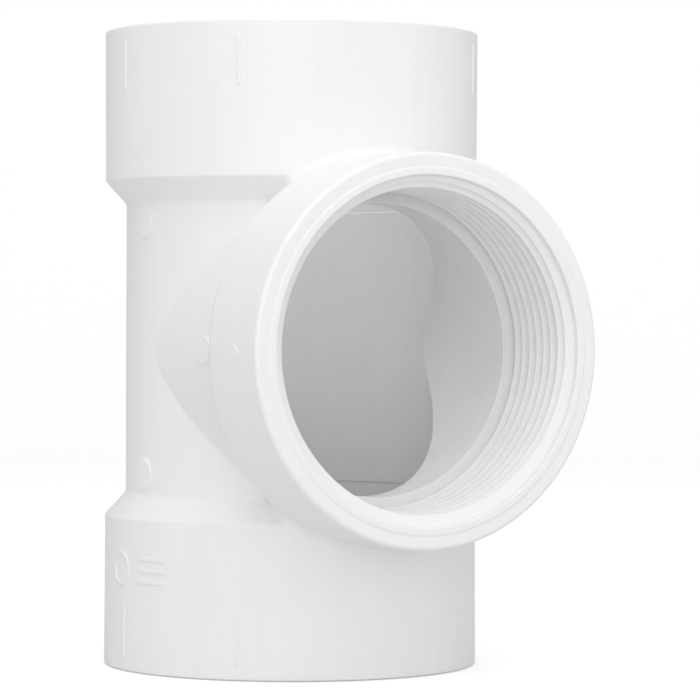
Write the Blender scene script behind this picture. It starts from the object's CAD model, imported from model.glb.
"""A 3 inch drain cleanout tee moulded in white PVC: two glue sockets on a straight run, and a branch
with a female pipe thread. Metres, +Z up the run, the branch's mouth facing -Y, as in the CAD frame."""

import math

import bpy
import numpy as np
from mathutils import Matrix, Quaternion, Vector


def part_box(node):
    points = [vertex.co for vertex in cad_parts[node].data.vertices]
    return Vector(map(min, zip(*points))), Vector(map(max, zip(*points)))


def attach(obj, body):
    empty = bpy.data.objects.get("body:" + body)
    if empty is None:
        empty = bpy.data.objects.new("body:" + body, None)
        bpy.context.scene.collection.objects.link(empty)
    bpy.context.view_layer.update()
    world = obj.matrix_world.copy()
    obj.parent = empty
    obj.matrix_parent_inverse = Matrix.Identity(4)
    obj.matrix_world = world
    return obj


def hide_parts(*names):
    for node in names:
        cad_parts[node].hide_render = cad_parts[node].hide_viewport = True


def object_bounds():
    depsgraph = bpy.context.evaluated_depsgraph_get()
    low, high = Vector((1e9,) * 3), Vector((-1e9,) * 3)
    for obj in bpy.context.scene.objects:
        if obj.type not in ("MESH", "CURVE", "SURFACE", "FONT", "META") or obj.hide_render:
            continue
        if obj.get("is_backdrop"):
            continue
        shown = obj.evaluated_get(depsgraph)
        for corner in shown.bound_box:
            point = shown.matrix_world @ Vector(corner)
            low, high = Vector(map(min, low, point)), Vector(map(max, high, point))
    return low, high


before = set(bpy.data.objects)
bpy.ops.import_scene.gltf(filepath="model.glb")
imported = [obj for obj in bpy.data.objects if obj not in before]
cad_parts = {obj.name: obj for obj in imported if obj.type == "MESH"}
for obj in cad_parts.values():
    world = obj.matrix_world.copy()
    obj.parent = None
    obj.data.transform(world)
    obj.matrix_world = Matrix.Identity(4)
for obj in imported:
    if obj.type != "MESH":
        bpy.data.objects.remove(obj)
cad_low, cad_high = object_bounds()

# ---------------------------------------------------------------------------------------------
# The lower socket. One end of the injection-moulded PVC run: a thick hub that a pipe is glued
# into up to a stop, with a shoulder that narrows to the barrel. The mould's core forms its inside.
# ---------------------------------------------------------------------------------------------

run_height = cad_high.z
hub_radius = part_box("lower_hub")[1].y
hub_draft = 0.0002
barrel_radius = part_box("run_barrel")[1].y
shoulder_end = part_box("run_barrel")[0].z
shoulder_length = 0.0061
end_edge_round, shoulder_top_round, shoulder_foot_round = 0.0005, 0.0010, 0.0020
socket_radius = 0.04455
socket_depth = 0.0381
stop_radius = 0.03926
lead_in = 0.0006
end_face_split = hub_radius - 0.003  # where the skin's and the socket's outlines meet on the end face
weld_fineness = 2e7  # points that agree to one part in this of a metre are one corner
mark_sink = 0.0003  # how far a raised mark reaches under the surface that it stands on
mark_turns = np.linspace(0, 2 * math.pi, 49)  # once round a ring or a pad


def bent(corners, rounds, step=5.0):
    """An outline with rounded corners, and the unit normal on the right of its direction of travel.
    Each corner gives way to an arc of its own radius that touches both sides: its points are the
    arc's centre plus or minus the radius times the normal, as the heading turns from side to side."""
    corners = np.asarray(corners, float)
    legs = np.diff(corners, axis=0)
    headings = np.arctan2(legs[:, 1], legs[:, 0])
    places, facings = [corners[:1]], [headings[:1]]
    for corner, before, after, radius in zip(corners[1:-1], headings[:-1], headings[1:], rounds):
        turn = (after - before + math.pi) % (2 * math.pi) - math.pi
        heading = before + turn * np.linspace(0, 1, max(3, math.ceil(abs(math.degrees(turn)) / step) + 1))
        right = np.stack([np.sin(heading), -np.cos(heading)], 1)
        start = corner - radius * math.tan(abs(turn) / 2) * np.array([math.cos(before), math.sin(before)])
        side = math.copysign(radius, turn)
        places.append(start + side * (right - right[0]))
        facings.append(heading)
    places.append(corners[-1:])
    facings.append(headings[-1:])
    heading = np.concatenate(facings)
    return np.concatenate(places), np.stack([np.sin(heading), -np.cos(heading)], 1)


def spun(outline, turns):
    """A surface of revolution about +Z from (radius, height) points and their normals: at each turn
    t, x = radius * sin t, y = -radius * cos t, and the normal is turned in the same way."""
    points, normals = outline
    sine, cosine = np.sin(turns), np.cos(turns)
    grids = []
    for pair in (points, normals):
        across = pair[:, :1]
        up = np.broadcast_to(pair[:, 1:], (len(pair), len(turns)))
        grids.append(np.stack([across * sine, -across * cosine, up], -1))
    return tuple(grids)


def moulded(name, grids):
    """One mesh from grids of points and normals: a quad between each four neighbours, wound so that
    it faces along its normals. Corners that coincide are merged, and each keeps its grid's normal."""
    points = np.concatenate([place.reshape(-1, 3) for place, _ in grids])
    normals = np.concatenate([facing.reshape(-1, 3) for _, facing in grids])
    quads, base = [], 0
    for place, _ in grids:
        rows, columns = place.shape[:2]
        index = np.arange(rows * columns).reshape(rows, columns) + base
        corners = [index[:-1, :-1], index[:-1, 1:], index[1:, 1:], index[1:, :-1]]
        quads.append(np.stack(corners, -1).reshape(-1, 4))
        base += rows * columns
    quads = np.concatenate(quads)
    a, b, c, d = (points[quads[:, k]] for k in range(4))
    inward = (np.cross(c - a, d - b) * normals[quads].mean(1)).sum(1) < 0
    quads[inward] = quads[inward, ::-1]
    cells = np.round(points * weld_fineness)
    _, first, merged = np.unique(cells, axis=0, return_index=True, return_inverse=True)
    shared = merged.reshape(-1)[quads]
    keep = shared != np.roll(shared, -1, axis=1)
    solid = keep.sum(1) >= 3
    shared, keep, quads = shared[solid], keep[solid], quads[solid]
    counts = keep.sum(1)
    mesh = bpy.data.meshes.new(name)
    mesh.vertices.add(len(first))
    mesh.vertices.foreach_set("co", points[first].astype(np.float32).ravel())
    mesh.loops.add(int(counts.sum()))
    mesh.loops.foreach_set("vertex_index", shared[keep].astype(np.int32))
    mesh.polygons.add(len(counts))
    mesh.polygons.foreach_set("loop_start", (np.cumsum(counts) - counts).astype(np.int32))
    mesh.update(calc_edges=True)
    mesh.polygons.foreach_set("use_smooth", np.ones(len(counts), bool))
    mesh.normals_split_custom_set(normals[quads[keep]])
    piece = bpy.data.objects.new(name, mesh)
    bpy.context.scene.collection.objects.link(piece)
    return piece


half_skin, half_facing = bent(
    [
        (end_face_split, 0),
        (hub_radius, 0),
        (hub_radius - hub_draft, shoulder_end - shoulder_length),
        (barrel_radius, shoulder_end),
        (barrel_radius, run_height / 2),
    ],
    [end_edge_round, shoulder_top_round, shoulder_foot_round],
)
flank_skin, flank_facing = half_skin[4:], half_facing[4:]  # the skin above the end edge's round
seam = np.argmin(np.abs(half_skin[:, 1] - shoulder_end))
seam_height = half_skin[seam, 1]
around = np.linspace(0, 2 * math.pi, 257)


def skin_radius(height):
    """The run's outer radius at a height, the same above its middle as below it."""
    folded = np.minimum(height, run_height - height)
    return np.interp(folded, flank_skin[:, 1], flank_skin[:, 0])


def skin_normal(height):
    """The outward normal of the run's skin at a height, as (across, up)."""
    folded = np.minimum(height, run_height - height)
    across, up = (np.interp(folded, flank_skin[:, 1], part) for part in flank_facing.T)
    return np.stack([across, np.where(height > run_height / 2, -up, up)], -1)


socket_inside = bent(
    [
        (half_skin[seam, 0], seam_height),
        (stop_radius, seam_height),
        (stop_radius, socket_depth),
        (socket_radius, socket_depth),
        (socket_radius, lead_in),
        (socket_radius + lead_in, 0),
        (end_face_split, 0),
    ],
    [0.00005, 0.0003, 0.0003, 0.0004, 0.0002],
    step=15.0,
)
outside = slice(0, seam + 1)
socket_grids = [
    spun((half_skin[outside], half_facing[outside]), around),
    spun(socket_inside, around),
]


def on_run(across, height, lift):
    """A point on the run's skin: `across` metres round from a turn of zero, and lifted off it."""
    radius = skin_radius(height) + lift
    turn = across / hub_radius
    return np.stack([radius * np.sin(turn), -radius * np.cos(turn), height], -1)


def raised(across, along, lift, seat):
    """A closed raised mark: its top is the seat's surface plus the lift, and its underside is the same
    grid sunk under the surface, which its rim joins. Normals come from differences between points."""
    top = seat(across, along, lift)
    facing = np.cross(np.gradient(top, axis=0), np.gradient(top, axis=1))
    size = np.linalg.norm(facing, axis=2, keepdims=True)
    facing = facing / np.maximum(size, 1e-15)
    outward = top - seat(across, along, lift - 0.001)
    facing *= np.sign((facing * outward).sum((0, 1, 2)))
    under = seat(across, along, np.full_like(lift, -mark_sink))
    return [(top, facing), (under, -outward / np.linalg.norm(outward, axis=2, keepdims=True))]


def pillow(count, proud):
    """A row of stations from -1 to 1 and their lift: proud over the middle, rounded off at the rim
    as the fourth root of 1 - u^8, and sunk at both ends."""
    middle = np.sin(np.linspace(-1, 1, count) * math.pi / 2)
    lift = proud * np.clip(1 - middle**8, 0, 1) ** 0.25
    return np.concatenate([[-1], middle, [1]]), np.concatenate([[-mark_sink], lift, [-mark_sink]])


def bar(centre, height, width, length, proud, seat):
    """A raised bar: `width` round the surface and `length` along it, with rounded edges."""
    u, lift_u = pillow(9, proud)
    v, lift_v = pillow(11, proud)
    across, along = np.meshgrid(centre + u * width / 2, height + v * length / 2, indexing="ij")
    return raised(across, along, np.minimum.outer(lift_u, lift_v), seat)


def hoop(centre, height, radius, width, proud, seat):
    """A raised ring: its band's stations are carried once round its middle."""
    u, lift = pillow(9, proud)
    reach = radius + u * width / 2
    across = centre + np.outer(np.cos(mark_turns), reach)
    along = height + np.outer(np.sin(mark_turns), reach)
    return raised(across, along, np.broadcast_to(lift, across.shape), seat)


mark_rise = 0.00028
rib_turns = np.radians([-135, -90, -45, 45, 90, 135])
rib_height, rib_width, rib_length = 0.0104, 0.0009, 0.0136
for turn in rib_turns:
    socket_grids += bar(turn * hub_radius, rib_height, rib_width, rib_length, mark_rise, on_run)

badge_turn, badge_height = math.radians(-84), 0.0272
badge_arc = math.radians(8) * hub_radius  # from the badge's middle to its ring's and its bars'
hoop_radius, hoop_band = 0.00415, 0.0009
bar_span, bar_thickness, bar_spacing = 0.0110, 0.0011, 0.003
middle = badge_turn * hub_radius - badge_arc
socket_grids += hoop(middle, badge_height, hoop_radius, hoop_band, mark_rise, on_run)
middle = badge_turn * hub_radius + badge_arc
for step in (-bar_spacing, 0, bar_spacing):
    socket_grids += bar(middle, badge_height + step, bar_span, bar_thickness, mark_rise, on_run)


def new_group(name, inputs, outputs):
    """An empty shader node group with named inputs (name, value) and named outputs."""
    group = bpy.data.node_groups.new(name, "ShaderNodeTree")
    for title, value in inputs:
        if isinstance(value, tuple):
            socket = group.interface.new_socket(title, in_out="INPUT", socket_type="NodeSocketColor")
        else:
            socket = group.interface.new_socket(title, in_out="INPUT", socket_type="NodeSocketFloat")
        socket.default_value = value
    for title, kind in outputs:
        group.interface.new_socket(title, in_out="OUTPUT", socket_type=kind)
    return group


def node(tree, kind, links=None, **settings):
    """Adds a node, sets its own properties, and fills its inputs with values or other sockets."""
    made = tree.nodes.new(kind)
    for title, value in settings.items():
        setattr(made, title, value)
    for title, value in (links or {}).items():
        if isinstance(value, bpy.types.NodeSocket):
            tree.links.new(value, made.inputs[title])
        else:
            made.inputs[title].default_value = value
    return made


def maths(tree, operation, *values):
    """The outcome of a Math node's operation on numbers or sockets."""
    return node(tree, "ShaderNodeMath", dict(enumerate(values)), operation=operation).outputs[0]


def noise(tree, place, scale, detail, **more):
    """A noise texture's value from 0 to 1, at a scale per metre."""
    inputs = {"Vector": place, "Scale": scale, "Detail": detail, **more}
    return node(tree, "ShaderNodeTexNoise", inputs).outputs["Fac"]


def ramp(tree, value, start, end, first=0.0, last=1.0):
    """A straight ramp: `first` where the value is at its start, `last` at its end, and clamped."""
    inputs = {"Value": value, "From Min": start, "From Max": end, "To Min": first, "To Max": last}
    return node(tree, "ShaderNodeMapRange", inputs).outputs[0]


def moulding_skin():
    """What cooling leaves on moulded PVC: broad clouds of tone, flow lines drawn out along the run,
    and a fine orange peel. It gives the tone's colour, a gloss value and a height."""
    tones = [("Tone", (0.9, 0.9, 0.9, 1)), ("Cloud tone", (0.8, 0.8, 0.8, 1))]
    group = new_group(
        "moulding_skin",
        [*tones, ("Gloss", 0.3), ("Gloss spread", 0.08)],
        [("Color", "NodeSocketColor"), ("Roughness", "NodeSocketFloat"), ("Height", "NodeSocketFloat")],
    )
    given = node(group, "NodeGroupInput").outputs
    place = node(group, "ShaderNodeTexCoord").outputs["Object"]
    clouds = noise(group, place, 38.0, 4.0, Roughness=0.55)
    drawn = node(group, "ShaderNodeMapping", {"Vector": place, "Scale": (1.0, 1.0, 0.16)})
    flow = noise(group, drawn.outputs["Vector"], 210.0, 3.0, Distortion=0.6)
    peel = noise(group, place, 620.0, 2.0)
    share = ramp(group, maths(group, "ADD", clouds, flow), 0.75, 1.3)
    tone = node(
        group,
        "ShaderNodeMix",
        {"Factor": share, "A": given["Tone"], "B": given["Cloud tone"]},
        data_type="RGBA",
    )
    spread = maths(group, "MULTIPLY", share, given["Gloss spread"])
    gloss = maths(group, "ADD", given["Gloss"], spread)
    height = maths(group, "MULTIPLY_ADD", peel, 0.4, maths(group, "MULTIPLY", flow, 0.6))
    out = node(group, "NodeGroupOutput")
    group.links.new(tone.outputs["Result"], out.inputs["Color"])
    group.links.new(gloss, out.inputs["Roughness"])
    group.links.new(height, out.inputs["Height"])
    return group


def handling():
    """What handling leaves: sparse hairline scratches, thin bright lines where two stretched noises
    cross a narrow band, and a few faint scuffs. It gives a mask of each kind from 0 to 1."""
    group = new_group(
        "handling",
        [("Scratches", 0.5), ("Scuffs", 0.5)],
        [("Scratch", "NodeSocketFloat"), ("Scuff", "NodeSocketFloat")],
    )
    given = node(group, "NodeGroupInput").outputs
    place = node(group, "ShaderNodeTexCoord").outputs["Object"]
    lines = []
    for turn, scale in (((0.5, 0.3, 0.9), (1.0, 0.12, 1.0)), ((-0.8, 1.1, 0.2), (0.15, 1.0, 1.0))):
        drawn = node(group, "ShaderNodeMapping", {"Vector": place, "Rotation": turn, "Scale": scale})
        stretched = noise(group, drawn.outputs["Vector"], 95.0, 1.0)
        near = maths(group, "ABSOLUTE", maths(group, "SUBTRACT", stretched, 0.5))
        lines.append(ramp(group, near, 0.0, 0.0035, first=1.0, last=0.0))
    where = ramp(group, noise(group, place, 55.0, 2.0), 0.56, 0.66)
    hairlines = maths(group, "MULTIPLY", maths(group, "MAXIMUM", *lines), where)
    scratch = maths(group, "MULTIPLY", hairlines, given["Scratches"])
    smears = ramp(group, noise(group, place, 120.0, 5.0, Roughness=0.7), 0.58, 0.75)
    scuff = maths(group, "MULTIPLY", smears, given["Scuffs"])
    out = node(group, "NodeGroupOutput")
    group.links.new(scratch, out.inputs["Scratch"])
    group.links.new(scuff, out.inputs["Scuff"])
    return group


skin_group = moulding_skin()
handling_group = handling()
gloss_spread = 0.09
handled_dulling = 0.25
scratch_depth = 0.8
peel_depth = 0.00012


def white_pvc(name, tone, cloud_tone, gloss, scratches, scuffs, bump, scuff_tone):
    """White PVC: the moulding's own tone and gloss, darkened and dulled where it was handled, with
    a bump of the orange peel less the scratches' depth."""
    made = bpy.data.materials.new(name)
    made.use_nodes = True
    tree = made.node_tree
    tree.nodes.clear()
    tones = {"Tone": (*tone, 1), "Cloud tone": (*cloud_tone, 1)}
    given = {**tones, "Gloss": gloss, "Gloss spread": gloss_spread}
    skin = node(tree, "ShaderNodeGroup", given, node_tree=skin_group).outputs
    given = {"Scratches": scratches, "Scuffs": scuffs}
    marks = node(tree, "ShaderNodeGroup", given, node_tree=handling_group).outputs
    either = maths(tree, "MAXIMUM", marks["Scratch"], marks["Scuff"])
    colour = node(
        tree,
        "ShaderNodeMix",
        {"Factor": either, "A": skin["Color"], "B": (*scuff_tone, 1)},
        data_type="RGBA",
    )
    duller = maths(tree, "MULTIPLY_ADD", either, handled_dulling, skin["Roughness"])
    relief = maths(tree, "MULTIPLY_ADD", marks["Scratch"], -scratch_depth, skin["Height"])
    given = {"Height": relief, "Strength": bump, "Distance": peel_depth}
    bumped = node(tree, "ShaderNodeBump", given)
    shader = node(
        tree,
        "ShaderNodeBsdfPrincipled",
        {
            "Base Color": colour.outputs["Result"],
            "Roughness": duller,
            "Normal": bumped.outputs["Normal"],
            "IOR": 1.53,
            "Specular IOR Level": 0.4,
        },
    )
    out = node(tree, "ShaderNodeOutputMaterial")
    tree.links.new(shader.outputs["BSDF"], out.inputs["Surface"])
    return made


socket_white = white_pvc(
    "socket_white",
    tone=(0.905, 0.903, 0.897),
    cloud_tone=(0.885, 0.884, 0.880),
    gloss=0.36,
    scratches=0.15,
    scuffs=0.12,
    bump=0.30,
    scuff_tone=(0.74, 0.745, 0.75),
)


def seat_in_frame(piece, material, *nodes):
    """Gives a finished piece its material, its place on the frame and the nodes that it stands for."""
    piece.data.materials.append(material)
    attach(piece, "root")
    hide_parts(*nodes)


lower_socket = moulded("lower_socket", socket_grids)
seat_in_frame(lower_socket, socket_white, "lower_hub")

# ---------------------------------------------------------------------------------------------
# The upper socket. The same hub on the run's other end, from the same mould but without the plain
# badge: the lower one turned half round about the branch's axis.
# ---------------------------------------------------------------------------------------------


def turned_over(grid):
    """A half turn about the branch's axis: x and the height from the middle change sign."""
    place, facing = grid
    flipped = place * (-1, 1, -1) + (0, 0, run_height)
    return flipped, facing * (-1, 1, -1)


marks_before_badge = 2 + 2 * len(rib_turns)
upper_socket = moulded("upper_socket", [turned_over(grid) for grid in socket_grids[:marks_before_badge]])
seat_in_frame(upper_socket, socket_white, "upper_hub")

# ---------------------------------------------------------------------------------------------
# The barrel. The plain pipe-like middle of the run, of the same shot of PVC. The branch's bore
# runs through its front wall, and four round ejector pads stand out a little from its flanks.
# ---------------------------------------------------------------------------------------------

branch_height = run_height / 2
waterway_radius = 0.03896
stop_edge = (0.0474, 0.04758)  # the heights where the stop's radius starts and ends its change
bore_outline_start = 0.040  # inside the stop, below the barrel's own end
branch_bore_radius = 0.03841
wall_columns = 225

half_bore, half_bore_facing = bent(
    [
        (stop_radius, bore_outline_start),
        (stop_radius, stop_edge[0]),
        (waterway_radius, stop_edge[1]),
        (waterway_radius, run_height / 2),
    ],
    [0.0001, 0.0001],
    step=15.0,
)


def bore_radius(height):
    """The run's inner radius at a height: the waterway, a little wider beyond each stop's end."""
    return np.interp(np.minimum(height, run_height - height), half_bore[:, 1], half_bore[:, 0])


def bore_normal(height):
    """The normal of the run's bore at a height, towards the axis, as (across, up)."""
    folded = np.minimum(height, run_height - height)
    across, up = (-np.interp(folded, half_bore[:, 1], part) for part in half_bore_facing.T)
    return np.stack([across, np.where(height > run_height / 2, -up, up)], -1)


# Turns about the branch's axis, from straight down: even steps, and one at each bend of the run's
# wall, so that the wall's rows and the bore's columns share their corners.
bends = np.concatenate([half_bore[1:-1, 1], half_skin[seam:-1, 1]])
bends = bends[bends > branch_height - branch_bore_radius + 1e-5]
at_bends = np.arccos((branch_height - bends) / branch_bore_radius)
quarter = np.concatenate([np.linspace(0, math.pi / 2, 61), at_bends])
quarter = np.unique(np.round(quarter, 7))
half_turn = np.concatenate([quarter, math.pi - quarter[-2::-1]])
turns = np.concatenate([half_turn, 2 * math.pi - half_turn[-2::-1]])

hole_heights = branch_height - branch_bore_radius * np.cos(half_turn)
hole_halves = branch_bore_radius * np.sin(half_turn)
end_rows = half_skin[seam:, 1]
end_rows = end_rows[end_rows < hole_heights[0] - 1e-6]
end_rows = np.union1d(end_rows, [seam_height])
barrel_heights = np.concatenate([end_rows, hole_heights, run_height - end_rows[::-1]])
barrel_halves = np.concatenate([0 * end_rows, hole_halves, 0 * end_rows])


def walled(radius_at, normal_at):
    """The run's wall with the branch's bore left out: at each height the turn goes from the hole's
    one edge, asin(half width / radius), round the back to the other edge."""
    radius = radius_at(barrel_heights)[:, None]
    edge = np.arcsin(barrel_halves[:, None] / radius)
    turn = edge + (2 * math.pi - 2 * edge) * np.linspace(0, 1, wall_columns)
    facing = normal_at(barrel_heights)[:, None]
    height = np.broadcast_to(barrel_heights[:, None], turn.shape)
    place = np.stack([radius * np.sin(turn), -radius * np.cos(turn), height], -1)
    across = facing[..., 0] * np.ones_like(turn)
    up = facing[..., 1] * np.ones_like(turn)
    return place, np.stack([across * np.sin(turn), -across * np.cos(turn), up], -1)


def bored(near, far, steps):
    """The branch's bore between two depths that may differ with the turn: points lie at the bore's
    radius, x = radius * sin t, z = height - radius * cos t, and face the branch's axis."""
    y = near + (far - near) * np.linspace(0, 1, steps)[:, None]
    x = np.broadcast_to(branch_bore_radius * np.sin(turns), y.shape)
    z = np.broadcast_to(branch_height - branch_bore_radius * np.cos(turns), y.shape)
    facing = np.stack([-np.sin(turns), 0 * turns, np.cos(turns)], -1)
    return np.stack([x, y, z], -1), np.broadcast_to(facing, (*y.shape, 3))


bore_x = branch_bore_radius * np.sin(turns)
bore_z = branch_height - branch_bore_radius * np.cos(turns)
wall_outside = -np.sqrt(skin_radius(bore_z) ** 2 - bore_x**2)
wall_inside = -np.sqrt(bore_radius(bore_z) ** 2 - bore_x**2)


def end_face(height, up):
    """The flat ring where the barrel meets a socket, from the bore to the skin."""
    radii = np.array([[bore_radius(height)], [skin_radius(height)]])
    turn = np.linspace(0, 2 * math.pi, wall_columns)
    level = np.full((2, wall_columns), height)
    place = np.stack([radii * np.sin(turn), -radii * np.cos(turn), level], -1)
    return place, np.broadcast_to(np.array([0.0, 0.0, up]), place.shape)


barrel_grids = [
    walled(skin_radius, skin_normal),
    walled(bore_radius, bore_normal),
    bored(wall_outside, wall_inside, 4),
    end_face(seam_height, -1.0),
    end_face(run_height - seam_height, 1.0),
]


def disc(centre, height, radius, proud, seat):
    """A low round pad with a fine ring sunk in its face: u runs from its middle to its rim, where
    the edge is rounded off, and is carried once round."""
    u = np.array([0, 0.35, 0.62, 0.68, 0.72, 0.76, 0.82, 0.92, 0.965, 0.985, 1, 1])
    lift = np.array([1, 1, 1, 0.93, 0.86, 0.93, 1, 1, 0.95, 0.8, 0.45, -mark_sink / proud]) * proud
    across = centre + np.outer(np.cos(mark_turns), u * radius)
    along = height + np.outer(np.sin(mark_turns), u * radius)
    return raised(across, along, np.broadcast_to(lift, across.shape), seat)


def on_barrel(across, height, lift):
    """A point on the barrel's skin, `across` metres round it from a turn of zero."""
    radius = barrel_radius + lift
    turn = across / barrel_radius
    return np.stack([radius * np.sin(turn), -radius * np.cos(turn), height], -1)


pad_radius, pad_rise, pad_offset = 0.0043, 0.0005, 0.0334
for side in (-1, 1):
    middle = side * math.pi / 2 * barrel_radius
    for offset in (-pad_offset, pad_offset):
        barrel_grids += disc(middle, branch_height + offset, pad_radius, pad_rise, on_barrel)

barrel = moulded("barrel", barrel_grids)
seat_in_frame(barrel, socket_white, "run_barrel")

# ---------------------------------------------------------------------------------------------
# The branch's neck. PVC of the same shot: a short tube that springs from the barrel and the two
# shoulders through a small rolled fillet, then flares out to the branch's hub.
# ---------------------------------------------------------------------------------------------

rim_reach = -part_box("branch_hub")[0].y
ledge_reach = -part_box("branch_thread_ring")[1].y
lip_reach = -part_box("branch_thread_ring")[0].y
lip_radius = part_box("branch_thread_ring")[1].z - branch_height
branch_hub_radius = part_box("branch_hub")[1].z - branch_height
neck_radius = barrel_radius - 0.0003
rim_face = 0.002  # how much of the rim's flat face the branch's outline takes in
neck_end = 0.0379
flare_end = 0.0481
flare_foot_round, flare_top_round, rim_round = 0.0020, 0.0022, 0.0012
saddle_round = 0.0025
farthest_saddle = 0.062  # a distance along the branch's outline that is past the saddle everywhere
halvings = 40
neck_seam_reach = 0.0490
least_neck = 0.0006  # the least of the neck's skin that is left between the saddle and the seam
bore_start = 0.0462
neck_pad_reach = 0.0332

branch_skin, branch_facing = bent(
    [
        (neck_radius, 0.0),
        (neck_radius, neck_end),
        (branch_hub_radius, flare_end),
        (branch_hub_radius, rim_reach),
        (branch_hub_radius - rim_face, rim_reach),
    ],
    [flare_foot_round, flare_top_round, rim_round],
    step=2.0,
)
rising = slice(0, 40)  # the outline's points before the rim, where the reach still grows
travelled = np.concatenate([[0], np.cumsum(np.linalg.norm(np.diff(branch_skin, axis=0), axis=1))])


def on_skin(distance):
    """Where a distance along the branch's outline falls: (radius, reach) and its unit normal."""
    columns = [np.interp(distance, travelled, line) for line in (*branch_skin.T, *branch_facing.T)]
    facing = np.stack(columns[2:], -1)
    return np.stack(columns[:2], -1), facing / np.linalg.norm(facing, axis=-1, keepdims=True)


def about_branch(pairs, turn):
    """(radius, reach) pairs carried round the branch's axis: x = radius sin t, y = -reach, and
    z = branch height - radius cos t. Normals go the same way, without the height."""
    radius, reach = pairs[..., 0], pairs[..., 1]
    parts = np.broadcast_arrays(radius * np.sin(turn), -reach, -radius * np.cos(turn))
    return np.stack(parts, -1)


lift_to_branch = np.array([0, 0, branch_height])
full_skin = np.concatenate([half_skin, (half_skin * (1, -1) + (0, run_height))[-2::-1]])


def nearest_on_run(centres):
    """The nearest point of the run's skin to each point, and the distance, negative inside. In the
    half plane through the run's axis it is the nearest point of the outline's straight pieces."""
    spread = np.hypot(centres[:, 0], centres[:, 1])
    flat = np.stack([spread, centres[:, 2]], 1)[:, None]
    start, leg = full_skin[None, :-1], np.diff(full_skin, axis=0)[None]
    share = np.clip(((flat - start) * leg).sum(2) / (leg**2).sum(2), 0, 1)
    foot = start + share[..., None] * leg
    gaps = np.linalg.norm(flat - foot, axis=2)
    best = gaps.argmin(1)
    row = np.arange(len(best))
    touch = foot[row, best]
    point = np.stack([centres[:, 0], centres[:, 1], 0 * spread], 1) * (touch[:, :1] / spread[:, None])
    point[:, 2] = touch[:, 1]
    inside = spread < skin_radius(centres[:, 2])
    return point, np.where(inside, -gaps[row, best], gaps[row, best])


def ball_centre(distance):
    """The centre of a ball that rests on the branch's skin at that distance along its outline."""
    spot, facing = on_skin(distance)
    return about_branch(spot + saddle_round * facing, turns) + lift_to_branch


low = np.zeros(len(turns))
high = np.full(len(turns), farthest_saddle)
for _ in range(halvings):
    middle = (low + high) / 2
    outside_run = nearest_on_run(ball_centre(middle))[1] > saddle_round
    low, high = np.where(outside_run, low, middle), np.where(outside_run, middle, high)
saddle = (low + high) / 2
ball = ball_centre(saddle)
on_run_side = nearest_on_run(ball)[0] - ball
spot, facing = on_skin(saddle)
on_branch_side = -saddle_round * about_branch(facing, turns)


def rolled(steps):
    """The fillet that a ball leaves as it rolls round the saddle: at each turn an arc about the
    ball's centre from the run's skin to the branch's, swept at an even rate."""
    a = on_run_side / np.linalg.norm(on_run_side, axis=1, keepdims=True)
    b = on_branch_side / np.linalg.norm(on_branch_side, axis=1, keepdims=True)
    angle = np.arccos(np.clip((a * b).sum(1), -1, 1))[:, None]
    share = np.linspace(0, 1, steps)[:, None, None]
    arc = (np.sin((1 - share) * angle) * a + np.sin(share * angle) * b) / np.sin(angle)
    size = np.linalg.norm(on_run_side, axis=1, keepdims=True)
    place = ball + (size + share * (saddle_round - size)) * arc
    place[0], place[-1] = ball + on_run_side, about_branch(spot, turns) + lift_to_branch
    return place, -arc


seam_distance = np.interp(neck_seam_reach, branch_skin[rising, 1], travelled[rising])
neck_seam = np.maximum(saddle + least_neck, seam_distance)
distance = saddle + (neck_seam - saddle) * np.linspace(0, 1, 45)[:, None]
spots, facings = on_skin(distance)
neck_outside = (about_branch(spots, turns) + lift_to_branch, about_branch(facings, turns))


def between(first, last, steps, outward):
    """A ruled surface between two loops of points, facing the way given."""
    share = np.linspace(0, 1, steps)[:, None, None]
    place = first + (last - first) * share
    return place, np.broadcast_to(outward, place.shape)


def under_neck(steps):
    """The face where the neck sits on the run's wall: x and z go straight from the fillet's foot to
    the bore's edge, and y follows the run's skin."""
    foot = ball + on_run_side
    share = np.linspace(0, 1, steps)[:, None]
    x = foot[:, 0] + (bore_x - foot[:, 0]) * share
    z = foot[:, 2] + (bore_z - foot[:, 2]) * share
    y = -np.sqrt(np.maximum(skin_radius(z) ** 2 - x**2, 0))
    y[0], y[-1] = foot[:, 1], wall_outside
    place = np.stack([x, y, z], -1)
    return place, np.broadcast_to(np.array([0.0, 1.0, 0.0]), place.shape)


def branch_spun(corners, rounds, at=turns, step=10.0):
    """A surface of revolution about the branch's axis, from an outline of (radius, reach) corners:
    each of its points is carried round to every turn."""
    points, normals = bent(corners, rounds, step)
    place = about_branch(points[:, None], at) + lift_to_branch
    return place, about_branch(normals[:, None], at)


ledge_face = branch_spun(
    [(lip_radius, ledge_reach), (branch_bore_radius, ledge_reach), (branch_bore_radius, bore_start)],
    [0.00025],
)
neck_grids = [
    neck_outside,
    rolled(9),
    under_neck(8),
    between(neck_outside[0][-1], ledge_face[0][0], 3, np.array([0.0, -1.0, 0.0])),
    ledge_face,
    bored(np.full(len(turns), -bore_start), wall_outside, 3),
]


def on_neck(across, reach, lift):
    """A point on the branch's skin, `across` metres round it from straight out sideways."""
    radius = np.interp(reach, branch_skin[:-2, 1], branch_skin[:-2, 0]) + lift
    turn = math.pi / 2 + across / branch_hub_radius
    return np.stack([radius * np.sin(turn), -reach, branch_height - radius * np.cos(turn)], -1)


def other_flank(grid):
    """The same mark on the tee's other flank: x changes sign."""
    return grid[0] * (-1, 1, 1), grid[1] * (-1, 1, 1)


neck_pad = disc(0, neck_pad_reach, pad_radius, pad_rise, on_neck)
neck_grids += neck_pad + [other_flank(grid) for grid in neck_pad]

branch_neck = moulded("branch_neck_and_saddle", neck_grids)
seat_in_frame(branch_neck, socket_white, "branch_neck")

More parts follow.
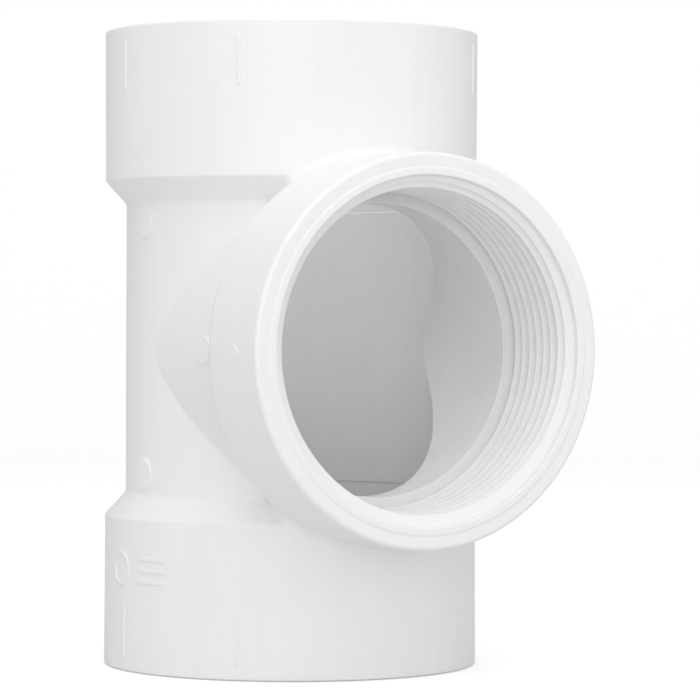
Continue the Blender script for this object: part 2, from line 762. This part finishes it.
# ---------------------------------------------------------------------------------------------
# The branch's hub. The thick outer ring of the branch's mouth, with a small round at its rim and
# a little pip on each flank. It closes round the threaded ring.
# ---------------------------------------------------------------------------------------------

hub_join = 0.0600
pip_reach, pip_radius, pip_rise = 0.0616, 0.0016, 0.0003

seam_reach = on_skin(neck_seam)[0][:, 1]
reach = seam_reach + (hub_join - seam_reach) * np.linspace(0, 1, 4)[:, None]
outline = (branch_skin[:-2, 0], *branch_facing[:-2].T)
radius, across, along = (np.interp(reach, branch_skin[:-2, 1], line) for line in outline)
hub_start = (
    about_branch(np.stack([radius, reach], -1), turns) + lift_to_branch,
    about_branch(np.stack([across, along], -1), turns),
)
hub_rim = branch_spun(
    [
        (branch_hub_radius, hub_join),
        (branch_hub_radius, rim_reach),
        (lip_radius, rim_reach),
        (lip_radius, ledge_reach),
    ],
    [rim_round, 0.00004],
)
hub_grids = [
    hub_start,
    hub_rim,
    between(hub_rim[0][-1], hub_start[0][0], 3, np.array([0.0, 1.0, 0.0])),
]
pip = disc(0, pip_reach, pip_radius, pip_rise, on_neck)
hub_grids += pip + [other_flank(grid) for grid in pip]

branch_hub = moulded("branch_mouth_hub", hub_grids)
seat_in_frame(branch_hub, socket_white, "branch_hub")

# ---------------------------------------------------------------------------------------------
# The threaded ring. A separate core unscrews out of the mould and leaves this: a low lip, a
# counterbore with a sloping ledge, and a tapered right-hand pipe thread, 8 turns to the inch.
# ---------------------------------------------------------------------------------------------

counterbore_radius = 0.04485
counterbore_depth = 0.0019
counterbore_fall = 0.0011
thread_pitch = 0.0254 / 8
thread_taper = 1 / 32
crest_radius = 0.04185
crest_flat, crest_round = 0.00060, 0.00030
root_flat, root_round = 0.00035, 0.00028
flank_angle = math.radians(30)
lip_ease = 0.0006  # how far the lip's outer side leans in as it rises from the rim
lip_foot_round, lip_top_round, counterbore_round = 0.0012, 0.00045, 0.00060
spare_turns = 2
thread_mouth = lip_reach - counterbore_depth - counterbore_fall
thread_start = ledge_reach + thread_pitch / 4
flank = (thread_pitch - crest_flat - root_flat) / 2
groove_depth = flank / math.tan(flank_angle)

# One pitch of the groove's outline, from the middle of a crest to the next: (along, depth).
groove, groove_facing = bent(
    [
        (-crest_flat / 2, 0),
        (crest_flat / 2, 0),
        (crest_flat / 2 + flank, groove_depth),
        (crest_flat / 2 + flank + root_flat, groove_depth),
        (thread_pitch - crest_flat / 2, 0),
        (thread_pitch + crest_flat / 2, 0),
    ],
    [crest_round, root_round, root_round, crest_round],
    step=20.0,
)
groove, groove_facing = groove[1:-1], groove_facing[1:-1]
thread_turns = np.linspace(0, 2 * math.pi, 289)


def threaded(reach, turn):
    """The thread's radius and slopes at a reach along the branch and a turn about it: a cone that
    narrows inwards, plus the groove's depth at (reach - start - pitch * turn / 2 pi), within a pitch."""
    phase = (reach - thread_start - thread_pitch * turn / (2 * math.pi) - groove[0, 0]) % thread_pitch
    phase += groove[0, 0]
    depth = np.interp(phase, groove[:, 0], groove[:, 1])
    lean = np.interp(phase, groove[:, 0], groove_facing[:, 0] / groove_facing[:, 1])
    radius = crest_radius - (thread_mouth - reach) * thread_taper + depth
    return radius, thread_taper - lean, lean * thread_pitch / (2 * math.pi)


def mouth_cone(reach):
    """The sloping ledge's radius at a reach, from the thread's crest out to the counterbore."""
    slope = (counterbore_radius - crest_radius) / counterbore_fall
    return crest_radius + (reach - thread_mouth) * slope


low = np.full(len(thread_turns), thread_mouth - 0.001)
high = np.full(len(thread_turns), thread_mouth + counterbore_fall)
for _ in range(halvings):
    middle = (low + high) / 2
    thread_wider = threaded(middle, thread_turns)[0] > mouth_cone(middle)
    low, high = np.where(thread_wider, middle, low), np.where(thread_wider, high, middle)
thread_stop = (low + high) / 2

count = math.ceil((lip_reach - ledge_reach) / thread_pitch) + spare_turns + 1
starts = thread_start + (np.arange(count) - spare_turns) * thread_pitch
rows = (starts[:, None] + groove[:, 0]).ravel()
reach = rows[:, None] + thread_pitch * thread_turns / (2 * math.pi)
reach = np.clip(reach, ledge_reach, thread_stop)
radius, slope, twist = threaded(reach, thread_turns)
sine, cosine = np.sin(thread_turns), np.cos(thread_turns)
thread_place = np.stack([radius * sine, -reach, branch_height - radius * cosine], -1)
turned = twist / radius
thread_facing = np.stack([-sine + turned * cosine, -slope, cosine + turned * sine], -1)
thread_facing /= np.linalg.norm(thread_facing, axis=2, keepdims=True)


cone_top = lip_reach - counterbore_depth
cone_join = cone_top - 0.0003
ring_lip = branch_spun(
    [
        (lip_radius, ledge_reach),
        (lip_radius, rim_reach),
        (lip_radius - lip_ease, lip_reach),
        (counterbore_radius, lip_reach),
        (counterbore_radius, cone_top),
        (mouth_cone(cone_join), cone_join),
    ],
    [0.00004, lip_foot_round, lip_top_round, counterbore_round],
    thread_turns,
    step=12.0,
)
cone_edge = np.stack([mouth_cone(thread_stop), thread_stop], -1)
cone_end = about_branch(cone_edge, thread_turns) + lift_to_branch
cone_lean = math.atan2(counterbore_radius - crest_radius, counterbore_fall)
cone_facing = about_branch(np.array([-math.cos(cone_lean), math.sin(cone_lean)]), thread_turns)
ring_grids = [
    ring_lip,
    between(ring_lip[0][-1], cone_end, 5, cone_facing),
    (thread_place, thread_facing),
    between(thread_place[0], ring_lip[0][0], 2, np.array([0.0, 1.0, 0.0])),
]
threaded_ring = moulded("threaded_ring", ring_grids)
thread_white = white_pvc(
    "thread_white",
    tone=(0.905, 0.903, 0.895),
    cloud_tone=(0.885, 0.883, 0.876),
    gloss=0.38,
    scratches=0.10,
    scuffs=0.10,
    bump=0.20,
    scuff_tone=(0.75, 0.75, 0.745),
)
seat_in_frame(threaded_ring, thread_white, "branch_thread_ring")

# ---------------------------------------------------------------------------------------------
# The studio. A pale seamless floor under the tee, large soft lights, and the camera in front of
# the branch's left side, a little above the tee's middle, with a long lens.
# ---------------------------------------------------------------------------------------------


floor_turn = math.radians(30.4)
floor_gap = 0.0002
floor_glow = 0.43  # a little light of its own, so that the floor is as pale as a lit backdrop


def sweep(width, depth, rise, bend, turn):
    """A floor that curves up behind into a backdrop: an outline of floor, arc and wall, carried
    straight across and turned to face the camera, just under the tee."""
    outline, facing = bent([(-depth, 0), (depth, 0), (depth, rise)], [bend], step=6.0)
    across = np.linspace(-width, width, 9)
    place = np.stack(np.broadcast_arrays(across, outline[:, :1], outline[:, 1:]), -1)
    upward = np.stack(np.broadcast_arrays(0 * across, -facing[:, :1], -facing[:, 1:]), -1)
    sine, cosine = math.sin(turn), math.cos(turn)
    turned = np.array([[cosine, -sine, 0], [sine, cosine, 0], [0, 0, 1]])
    return place @ turned + (0, 0, cad_low.z - floor_gap), upward @ turned


floor = moulded("studio_floor", [sweep(3.0, 2.0, 2.4, 0.8, floor_turn)])
floor_white = bpy.data.materials.new("studio_floor")
floor_white.use_nodes = True
floor_shader = floor_white.node_tree.nodes["Principled BSDF"]
floor_shader.inputs["Base Color"].default_value = (0.72, 0.72, 0.72, 1)
floor_shader.inputs["Roughness"].default_value = 0.85
floor_shader.inputs["Emission Color"].default_value = (1, 1, 1, 1)
seen = node(floor_white.node_tree, "ShaderNodeLightPath").outputs["Is Camera Ray"]
glow = maths(floor_white.node_tree, "MULTIPLY", seen, floor_glow)
floor_white.node_tree.links.new(glow, floor_shader.inputs["Emission Strength"])
floor.data.materials.append(floor_white)
floor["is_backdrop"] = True

world = bpy.data.worlds.new("studio")
bpy.context.scene.world = world
world.use_nodes = True
sky = world.node_tree.nodes["Background"].inputs
sky["Color"].default_value = (0.974, 0.981, 1.0, 1)
sky["Strength"].default_value = 0.74

middle = Vector((0, -0.02, run_height / 2))


def soft_light(name, azimuth, elevation, distance, size, power):
    """A square soft box aimed at the tee's middle from an azimuth and elevation in degrees."""
    a, e = math.radians(azimuth), math.radians(elevation)
    back = Vector((math.sin(a) * math.cos(e), -math.cos(a) * math.cos(e), math.sin(e)))
    light = bpy.data.lights.new(name, "AREA")
    light.size = size
    light.energy = power
    lamp = bpy.data.objects.new(name, light)
    lamp.location = middle + back * distance
    lamp.rotation_euler = (-back).to_track_quat("-Z", "Y").to_euler()
    bpy.context.scene.collection.objects.link(lamp)


soft_light("front", -38, 5, 1.6, 1.1, 5.5)
soft_light("top", -20, 75, 1.3, 1.2, 4.3)
soft_light("high front", -25, 45, 1.5, 1.0, 2.1)
soft_light("right fill", 42, 8, 1.8, 1.2, 1.6)

lens = bpy.data.cameras.new("camera")
lens.lens = 170.56
lens.sensor_width = 36.0
lens.clip_start = 0.05
lens.clip_end = 20.0
camera = bpy.data.objects.new("camera", lens)
camera.location = (-0.4439, -0.7890, 0.0954)
look = Vector((0.5058, 0.8626, -0.0114))
camera.rotation_mode = "QUATERNION"
camera.rotation_quaternion = look.to_track_quat("-Z", "Y") @ Quaternion((0, 0, 1), 0.0038)
bpy.context.scene.collection.objects.link(camera)
bpy.context.scene.camera = camera
bpy.context.scene.view_settings.view_transform = "Standard"

bpy.context.view_layer.update()
low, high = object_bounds()
